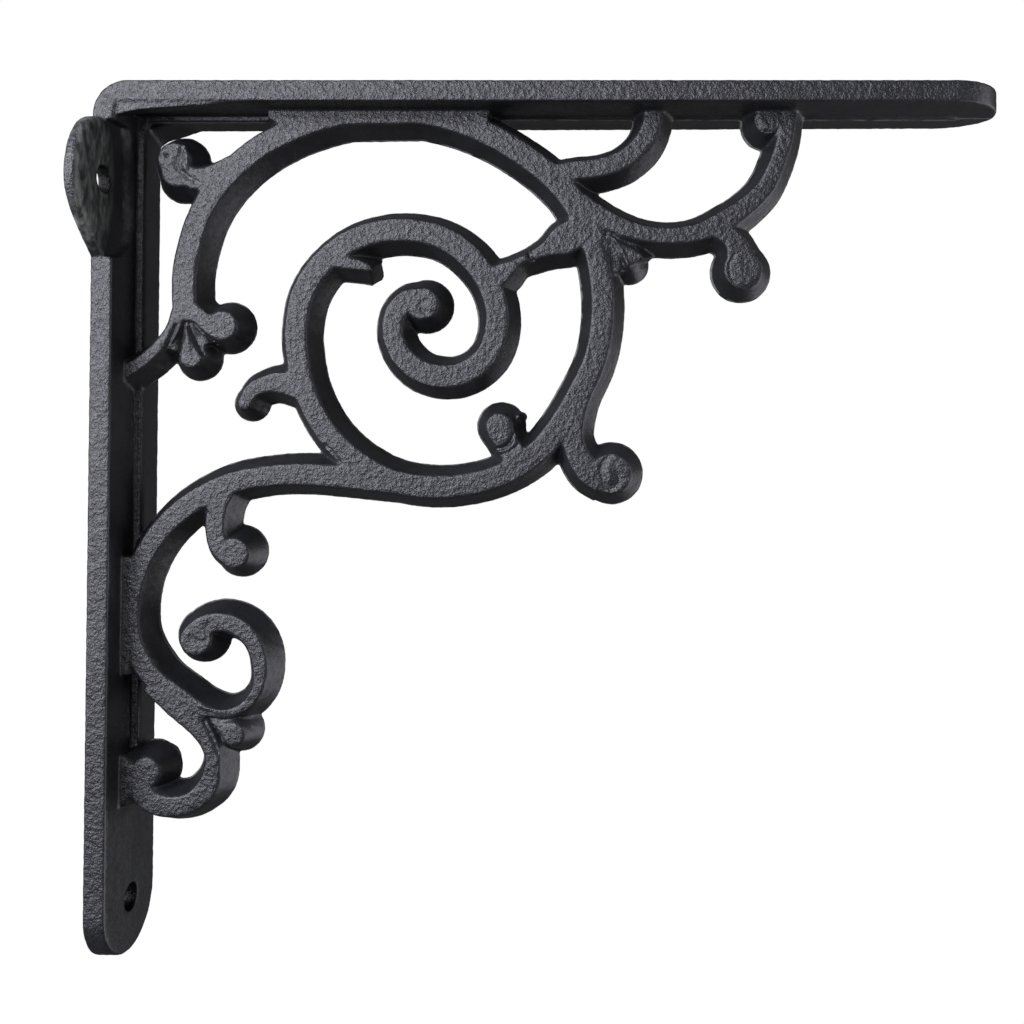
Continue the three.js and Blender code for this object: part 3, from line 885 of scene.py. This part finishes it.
@dataclass
class Casting:
    """Fuse the bracket's pieces and give them the corners and skin of a sand casting."""

    low: Point = (0, -24.7, -182.6)
    high: Point = (214, 12.5, 23.4)
    voxel: float = 0.32
    hollow_rate: float = 0.35
    edge_rate: float = 0.05
    passes: int = 18
    passes_per_normal: int = 4
    carved_from: float = 9
    carved_depth: float = 3.6
    carved_turn: float = 0.15
    carved_fade: float = 0.5
    mould_shift: float = 0.3
    unevenness: float = 0.16
    unevenness_size: float = 1.6
    most_triangles: int = 192000
    face_turn: float = 0.75
    face_fade: float = 0.2
    blurs: int = 3

    def fuse(self, pieces: list[Piece]) -> Piece:
        """Join overlapping pieces into one closed skin.

        Args:
            pieces: Closed pieces in millimetres.

        Returns:
            One piece of even quads.
        """
        put_down()
        for piece in pieces:
            piece.select_set(True)
        bpy.context.view_layer.objects.active = pieces[0]
        bpy.ops.object.join()
        piece = bpy.context.object
        piece.name = "iron_casting"
        piece.data.remesh_voxel_size = self.voxel
        piece.data.remesh_voxel_adaptivity = 0
        bpy.ops.object.voxel_remesh()
        return piece

    def soften(self, piece: Piece) -> None:
        """Fill the inner corners and ease the outer ones, as poured iron does."""
        points, normals, ends = self.arrays(piece)
        degree = self.degree(ends, len(points))
        for step in range(1, self.passes + 1):
            pull = self.pull(points, ends, degree)
            if step % self.passes_per_normal == 0:
                write_points(piece, points)
                normals = self.normals(piece)
            outward = np.sum(pull * normals, axis=1, keepdims=True)
            points = points + np.where(outward > 0, self.hollow_rate, self.edge_rate) * pull
        write_points(piece, points)

    def degree(self, ends: np.ndarray, count: int) -> np.ndarray:
        """Count the edges that meet at each point."""
        return np.bincount(ends.reshape(-1), minlength=count)

    def mean(self, values: np.ndarray, ends: np.ndarray, degree: np.ndarray) -> np.ndarray:
        """Give the mean over each point's neighbours."""
        near = np.bincount(ends[:, 0], values[ends[:, 1]], len(values))
        far = np.bincount(ends[:, 1], values[ends[:, 0]], len(values))
        return (near + far) / degree

    def pull(self, points: np.ndarray, ends: np.ndarray, degree: np.ndarray) -> np.ndarray:
        """Give the way from each point to the middle of its neighbours."""
        return np.stack([self.mean(axis, ends, degree) for axis in points.T], axis=1) - points

    def arrays(self, piece: Piece) -> tuple[np.ndarray, np.ndarray, np.ndarray]:
        """Read a piece's points, normals and edges."""
        points = read_rows(piece.data.vertices, "co", 3, np.float32).astype(float)
        return points, self.normals(piece), read_rows(piece.data.edges, "vertices", 2, np.int32)

    def normals(self, piece: Piece) -> np.ndarray:
        """Read the normals at a piece's points."""
        return read_rows(piece.data.vertex_normals, "vector", 3, np.float32).astype(float)

    def carve(self, piece: Piece) -> None:
        """Sink and raise the carver's lines on both faces of the scrollwork."""
        points, normals, _ = self.arrays(piece)
        turned = np.clip((np.abs(normals[:, 1]) - self.carved_turn) / self.carved_fade, 0, 1)
        out = (np.abs(points[:, 1]) > self.carved_depth) & (points[:, 0] > self.carved_from)
        chosen = np.flatnonzero(out & (turned > 0))
        side = np.sign(points[chosen, 1])
        flat = points[chosen][:, (0, 2)]
        flat[:, 0] += np.where(side > 0, self.mould_shift, 0.0)
        sunk = np.zeros(len(chosen))
        raised = np.zeros(len(chosen))
        for stroke in STROKES.values():
            near = self.nearness(flat, np.array(stroke.path), stroke.half_width)
            if stroke.depth > 0:
                sunk = np.maximum(sunk, stroke.depth * near)
            else:
                raised = np.maximum(raised, -stroke.depth * near)
        points[chosen, 1] += side * (raised - sunk) * turned[chosen]
        write_points(piece, points)

    def nearness(self, places: np.ndarray, path: np.ndarray, width: float) -> np.ndarray:
        """Give how near places are to a path, from 1 on it to 0 well away.

        Args:
            places: Places in the plane of the face.
            path: Corners of the path.
            width: Half the width of the line.

        Returns:
            One value for each place.
        """
        nearest = np.full(len(places), np.inf)
        for start, end in zip(path[:-1], path[1:]):
            run = end - start
            share = np.clip((places - start) @ run / (run @ run), 0, 1)
            nearest = np.minimum(nearest, np.linalg.norm(places - start - share[:, None] * run, axis=1))
        return np.exp(-((nearest / width) ** 2))

    def roughen(self, piece: Piece) -> None:
        """Let the skin wander a little in and out, as rammed sand leaves it."""
        lumps = bpy.data.textures.new("rammed sand", "CLOUDS")
        lumps.noise_scale = self.unevenness_size
        lumps.noise_depth = 1
        size = {"strength": self.unevenness, "mid_level": 0.5}
        change(piece, "DISPLACE", texture=lumps, texture_coords="LOCAL", **size)

    def trim(self, piece: Piece) -> None:
        """Keep the skin's bumps from standing past the flat faces."""
        points = read_rows(piece.data.vertices, "co", 3, np.float32).astype(float)
        write_points(piece, np.clip(points, self.low, self.high))

    def thin(self, piece: Piece) -> None:
        """Bring the mesh under its limit of triangles, where the surface is plainest first."""
        change(piece, "DECIMATE", ratio=min(1.0, self.most_triangles / triangles(piece)))

    def shrink(self, piece: Piece) -> None:
        """Bring the piece from millimetres to metres and shade it smooth."""
        pick_up(piece)
        piece.scale = (0.001, 0.001, 0.001)
        settle()
        bpy.ops.object.shade_smooth()

    def mark_skin(self, piece: Piece) -> None:
        """Store where the skin faces front or back, and where it is an edge or a hollow."""
        points, normals, ends = self.arrays(piece)
        degree = self.degree(ends, len(points))
        length = np.linalg.norm(points[ends[:, 0]] - points[ends[:, 1]], axis=1)
        spacing = np.bincount(ends.reshape(-1), np.repeat(length, 2), len(points)) / degree
        bend = -np.sum(self.pull(points, ends, degree) * normals, axis=1) / spacing
        face = np.clip((np.abs(normals[:, 1]) - self.face_turn) / self.face_fade, 0, 1)
        for name, values in (("bend", bend), ("face", face)):
            for _ in range(self.blurs):
                values = 0.5 * values + 0.5 * self.mean(values, ends, degree)
            layer = piece.data.attributes.new(name, "FLOAT", "POINT")
            layer.data.foreach_set("value", values.astype(np.float32))

    def build(self, pieces: list[Piece]) -> Piece:
        """Turn the loose pieces into the finished casting.

        Args:
            pieces: Closed pieces in millimetres.

        Returns:
            The casting in metres.
        """
        piece = self.fuse(pieces)
        log.info("fused: %d points", len(piece.data.vertices))
        for step in (self.soften, self.carve, self.roughen, self.trim):
            step(piece)
        for step in (self.thin, self.shrink, self.mark_skin):
            step(piece)
        return piece


@dataclass(frozen=True)
class Wiring:
    """The nodes of one material, added by what they do."""

    tree: bpy.types.NodeTree

    def attribute(self, name: str) -> Socket:
        """Read a value that the mesh carries."""
        return add_node(self.tree, "ShaderNodeAttribute", {"attribute_name": name}).outputs["Fac"]

    def noise(self, place: Socket, size_mm: float, detail: float) -> Socket:
        """Add noise whose lumps are a given size in millimetres."""
        values = {"Scale": 1000 / size_mm, "Detail": detail, "Roughness": 0.55}
        return add_node(self.tree, "ShaderNodeTexNoise", None, values, {"Vector": place}).outputs["Fac"]

    def span(self, value: Socket, *ends: float) -> Socket:
        """Map a value from its first two ends to its last two."""
        values = dict(zip(("From Min", "From Max", "To Min", "To Max"), ends))
        return add_node(self.tree, "ShaderNodeMapRange", None, values, {"Value": value}).outputs["Result"]

    def moved(self, place: Socket, way: Point, scale: Point) -> Socket:
        """Scale places and then move them."""
        values = {"Location": way, "Scale": scale}
        return add_node(self.tree, "ShaderNodeMapping", None, values, {"Vector": place}).outputs["Vector"]

    def length(self, way: Socket) -> Socket:
        """Give the length of a vector."""
        settings = {"operation": "LENGTH"}
        return add_node(self.tree, "ShaderNodeVectorMath", settings, links={0: way}).outputs["Value"]

    def math(self, operation: str, *terms: Socket) -> Socket:
        """Combine values by one of Blender's operations."""
        settings, links = {"operation": operation}, dict(enumerate(terms))
        return add_node(self.tree, "ShaderNodeMath", settings, links=links).outputs[0]

    def times(self, first: Socket, second: Socket) -> Socket:
        """Multiply two values."""
        return self.math("MULTIPLY", first, second)

    def blend(
        self,
        share: Socket,
        under: Socket | str,
        over: Socket | str,
    ) -> Socket:
        """Mix two colours, each a hex value or a socket, by a share."""
        values = {n: linear(c) for n, c in ((6, under), (7, over)) if isinstance(c, str)}
        links = {n: c for n, c in ((0, share), (6, under), (7, over)) if not isinstance(c, str)}
        return add_node(self.tree, "ShaderNodeMix", {"data_type": "RGBA"}, values, links).outputs[2]


@dataclass(frozen=True)
class BlackIron:
    """Sand-cast grey iron under a thin coat of black japan.

    The mould's faces keep the grain of the sand, so they scatter the light in fine specks, while
    the drafted sides, which slid out of the sand, stay smoother and darker.
    """

    black: str = "#16171a"
    worn: str = "#36373d"
    # Darkest colour: grain pits, and also painted shade on outer edges and inside the screw holes
    pit: str = "#08080a"
    # Light grey used as painted highlight in small glints along outer edges
    edge_glint_tone: str = "#5a5b62"
    # Light grey used as painted light on the ear's shaded broad faces
    ear_painted_light_tone: str = "#80827b"
    # Light grey used as painted highlight along the flash of the parting line
    flash: str = "#838381"
    roughness: float = 0.42
    grain_mm: float = 1.1
    fine_mm: float = 0.45
    fine_share: float = 0.35
    cloud_mm: float = 7.0
    patch_mm: float = 5.0
    streak_mm: float = 1.6
    bump_metres: float = 0.0006
    edge_bend: Flat = (0.07, 0.2)
    bore_metres: Flat = (0.0031, 0.0036)
    holes: tuple[Flat, ...] = ((-0.0125, 0.0), (0.0, -0.1701))
    ear_scale: Point = (60, 125, 60)
    ear_shift: Point = (-0.2, 2.2, 0.0)

    def painted_seam_highlight(self, wires: Wiring, place: Socket, face: Socket) -> Socket:
        """Give where a painted highlight lies in patches along the flash of the parting line."""
        parts = add_node(wires.tree, "ShaderNodeSeparateXYZ", links={"Vector": place}).outputs
        line = wires.span(wires.math("ABSOLUTE", parts["Y"]), 0.0003, 0.0006, 0.9, 0)
        line = wires.times(line, wires.span(parts["X"], 0.008, 0.01, 0, 1))
        line = wires.times(line, wires.span(face, 0, 0.3, 1, 0))
        return wires.times(line, wires.span(wires.noise(place, self.patch_mm, 2.0), 0.38, 0.52, 0, 1))

    def ear_painted_light(self, wires: Wiring, place: Socket, face: Socket) -> Socket:
        """Give where the ear's broad faces get painted light, in upright streaks."""
        away = wires.length(wires.moved(place, self.ear_shift, self.ear_scale))
        upright = wires.moved(place, (0, 0, 0), (1, 1, 0.4))
        lines = wires.span(wires.noise(upright, self.streak_mm, 4.0), 0.4, 0.66, 0.1, 0.95)
        ear_painted_lift = wires.times(wires.span(away, 0.8, 1.25, 1, 0), lines)
        return wires.times(ear_painted_lift, wires.span(face, 0, 0.6, 1, 0.1))

    def painted_bore_shade(self, wires: Wiring, place: Socket) -> Socket:
        """Give 1 inside the screw holes and 0 outside them."""
        ways = [wires.length(wires.moved(place, (0, -y, -z), (0, 1, 1))) for y, z in self.holes]
        return wires.span(wires.math("MINIMUM", *ways), *self.bore_metres, 1, 0)

    def material(self) -> bpy.types.Material:
        """Make the material.

        Returns:
            A material that reads the casting's own face and bend values.
        """
        material = bpy.data.materials.new("japanned_sand_cast_iron")
        material.use_nodes = True
        tree = material.node_tree
        tree.nodes.clear()
        wires = Wiring(tree)
        place = add_node(tree, "ShaderNodeTexCoord").outputs["Object"]
        face, bend = wires.attribute("face"), wires.attribute("bend")
        # Moulding sand has grains of a quarter to three quarters of a millimetre, and leaves lumps
        # of that size in the iron. The cloudy colour is where the japan ran thick and thin.
        grain = wires.noise(place, self.grain_mm, 3.0)
        fine = wires.noise(place, self.fine_mm, 2.0)
        cloud = wires.noise(place, self.cloud_mm, 3.0)
        settings, links = {"operation": "MULTIPLY_ADD"}, {0: fine, 2: grain}
        height = add_node(tree, "ShaderNodeMath", settings, {1: self.fine_share}, links).outputs[0]
        links = {"Height": height, "Strength": wires.span(face, 0, 1, 0.12, 0.8)}
        bump = add_node(tree, "ShaderNodeBump", None, {"Distance": self.bump_metres}, links)
        tone = wires.blend(wires.span(cloud, 0.35, 0.7, 0, 0.35), self.black, self.worn)
        specks = wires.times(wires.span(grain, 0.52, 0.72, 0, 0.6), face)
        tone = wires.blend(specks, tone, self.worn)
        pits = wires.times(wires.span(grain, 0.46, 0.3, 0, 1), wires.span(face, 0, 1, 0.3, 1))
        tone = wires.blend(pits, tone, self.pit)
        # Outer edges get painted shade in the darkest colour and less specular, with small painted
        # highlights broken up by the grain
        edge = wires.span(bend, *self.edge_bend, 0, 1)
        tone = wires.blend(edge, tone, self.pit)
        # Small painted highlights along outer edges, where the grain is high
        edge_glints = wires.times(edge, wires.span(grain, 0.54, 0.66, 0, 0.9))
        tone = wires.blend(edge_glints, tone, self.edge_glint_tone)
        # The mould's halves met along the middle, and the flash there gets a painted highlight in places
        tone = wires.blend(self.painted_seam_highlight(wires, place, face), tone, self.flash)
        # The ear's broad faces are lightened in upright streaks, as painted light that lifts their shade
        tone = wires.blend(self.ear_painted_light(wires, place, face), tone, self.ear_painted_light_tone)
        # Inside the screw holes the colour is painted shade, and the specular is lowered
        painted_bore_shade = self.painted_bore_shade(wires, place)
        tone = wires.blend(painted_bore_shade, tone, self.pit)
        dull = wires.math("MAXIMUM", painted_bore_shade, wires.span(bend, *self.edge_bend, 0, 0.75))
        links = {
            "Base Color": tone,
            "Normal": bump.outputs["Normal"],
            "Roughness": wires.span(height, 0.4, 0.9, self.roughness + 0.1, self.roughness - 0.08),
            "Specular IOR Level": wires.span(dull, 0, 1, 0.8, 0.1),
        }
        shader = add_node(tree, "ShaderNodeBsdfPrincipled", links=links)
        add_node(tree, "ShaderNodeOutputMaterial", links={"Surface": shader.outputs["BSDF"]})
        return material


@dataclass
class Camera:
    """Camera where the photograph was taken, with the picture's own framing."""

    place: Point = (0.1251, -0.2525, -0.06056)
    tilt: float = 1.39
    sensor: float = 36
    lens: float = 36.56
    shift: Flat = (-0.1152, -0.0947)

    def build(self) -> Piece:
        """Add the camera and make it the scene's own."""
        data = bpy.data.cameras.new("camera")
        data.sensor_width = self.sensor
        data.lens = self.lens
        data.shift_x, data.shift_y = self.shift
        data.clip_start = 0.01
        camera = bpy.data.objects.new("camera", data)
        bpy.context.scene.collection.objects.link(camera)
        camera.location = self.place
        camera.rotation_euler = (math.radians(90 + self.tilt), 0, 0)
        bpy.context.scene.camera = camera
        return camera


@dataclass(frozen=True)
class Lamp:
    """A soft rectangular lamp, with its places and sides in metres and its power in watts."""

    place: Point
    target: Point
    size: Flat
    power: float

    def hang(self, name: str, tint: str) -> None:
        """Hang the lamp so that it points at its target."""
        data = bpy.data.lights.new(name, "AREA")
        data.shape = "RECTANGLE"
        data.size, data.size_y = self.size
        data.energy = self.power
        data.color = linear(tint)[:3]
        lamp = bpy.data.objects.new(name, data)
        bpy.context.scene.collection.objects.link(lamp)
        lamp.location = self.place
        lamp.rotation_euler = (Vector(self.target) - Vector(self.place)).to_track_quat("-Z", "Y").to_euler()
        lamp.visible_camera = False


LAMPS: dict[str, Lamp] = {
    "key": Lamp((-0.2, -0.5, 0.1), (0.02, 0, -0.05), (0.5, 0.5), 2.3),
    "high key": Lamp((-0.3, -0.5, 0.35), (0.03, 0, -0.03), (0.35, 0.35), 2.9),
    "left": Lamp((-0.35, -0.35, -0.05), (0, 0, -0.05), (0.3, 0.4), 1.4),
    "front": Lamp((0.1, -1.1, -0.02), (0.1, 0, -0.06), (0.7, 0.7), 0.8),
    "right": Lamp((0.9, -0.1, 0.1), (0.05, 0, -0.05), (0.5, 0.5), 1.2),
    "low right": Lamp((0.85, 0.2, -0.45), (0.1, 0, -0.05), (0.8, 0.8), 3.2),
}


@dataclass
class Studio:
    """Pale floor, white surroundings and soft lamps."""

    floor_height: float = -0.26
    floor_side: float = 12
    white: str = "#ffffff"
    surround: float = 0.08
    tint: str = "#f3f3ff"

    def floor(self) -> Piece:
        """Lay the pale floor under the bracket."""
        put_down()
        bpy.ops.mesh.primitive_plane_add(size=self.floor_side, location=(0.1, 0, self.floor_height))
        floor = bpy.context.object
        floor.name = "floor"
        settle()
        material = bpy.data.materials.new("pale_floor")
        material.use_nodes = True
        tree = material.node_tree
        tree.nodes.clear()
        glow = add_node(tree, "ShaderNodeEmission", values={"Color": linear(self.white), "Strength": 1.0})
        add_node(tree, "ShaderNodeOutputMaterial", links={"Surface": glow.outputs["Emission"]})
        floor.data.materials.append(material)
        floor.visible_glossy = False
        floor.visible_diffuse = False
        floor.visible_shadow = False
        floor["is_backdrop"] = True
        return floor

    def world(self) -> None:
        """Make the surroundings white to look at and dim in reflections."""
        world = bpy.data.worlds.new("studio")
        bpy.context.scene.world = world
        world.use_nodes = True
        tree = world.node_tree
        tree.nodes.clear()
        links = {0: add_node(tree, "ShaderNodeLightPath").outputs["Is Camera Ray"]}
        for socket, strength in ((1, self.surround), (2, 1.0)):
            values = {"Color": linear(self.white), "Strength": strength}
            links[socket] = add_node(tree, "ShaderNodeBackground", values=values).outputs["Background"]
        both = add_node(tree, "ShaderNodeMixShader", links=links)
        add_node(tree, "ShaderNodeOutputWorld", links={"Surface": both.outputs["Shader"]})

    def build(self) -> None:
        """Lay the floor and hang the lamps."""
        self.floor()
        self.world()
        for name, lamp in LAMPS.items():
            lamp.hang(name, self.tint)


def main() -> list[list[float]]:
    """Build the scene.

    Returns:
        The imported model's box, as it was before anything was added.
    """
    logging.basicConfig(level=logging.INFO, format="%(name)s: %(message)s")
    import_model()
    packed = [list(map(float, corner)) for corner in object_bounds()]
    Camera().build()
    Studio().build()
    leaves = Leaves().build()
    log.info("leaves: %d pieces", len(leaves))
    scrolls = Scrollwork().build()
    log.info("scrollwork: %d pieces", len(scrolls))
    casting = Casting().build(leaves + scrolls)
    casting.data.materials.clear()
    casting.data.materials.append(BlackIron().material())
    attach(casting, "root")
    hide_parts("bracket_casting")
    log.info("casting: %d triangles", triangles(casting))
    bpy.context.scene.view_settings.view_transform = "Standard"
    return packed


if __name__ == "__main__":
    box = main()
